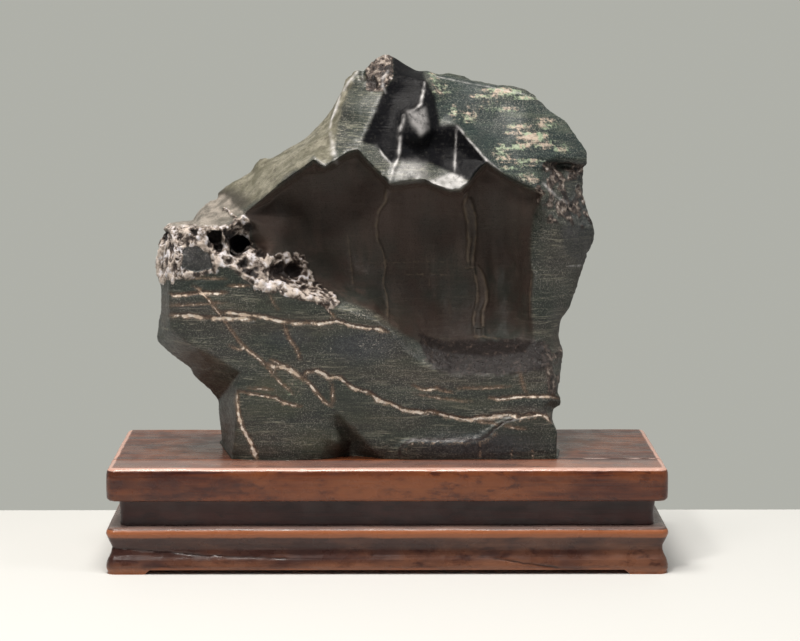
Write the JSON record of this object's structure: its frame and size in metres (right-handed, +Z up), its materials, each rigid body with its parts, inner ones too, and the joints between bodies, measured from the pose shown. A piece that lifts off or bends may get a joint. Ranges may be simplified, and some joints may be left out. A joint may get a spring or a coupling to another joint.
{
  "type": "scholars rock",
  "caption": "Dark green banded stone with a deep front hollow and a light crusted crest, seated in a low rectangular wooden stand with a waist and a moulded, footed base.",
  "frame": {"origin": "under the middle of the stand, on the surface that it stands on", "axes": "+X to the viewer's right along the stand's length, -Y out of the rock's hollow side, its front, +Z up"},
  "size_m": [0.4016, 0.1546, 0.366],
  "materials": {
    "stone": "waxed dark green stone with pale veins and a light crust",
    "board_wood": "worn red-brown lacquered hardwood",
    "waist_wood": "dark purple-brown lacquered hardwood",
    "base_wood": "worn brown lacquered hardwood"
  },
  "bodies": {
    "root": {"rock": "stone", "stand_top_front_board": "board_wood", "stand_top_back_board": "board_wood", "stand_waist": "waist_wood", "stand_base": "base_wood"}
  },
  "joints": []
}
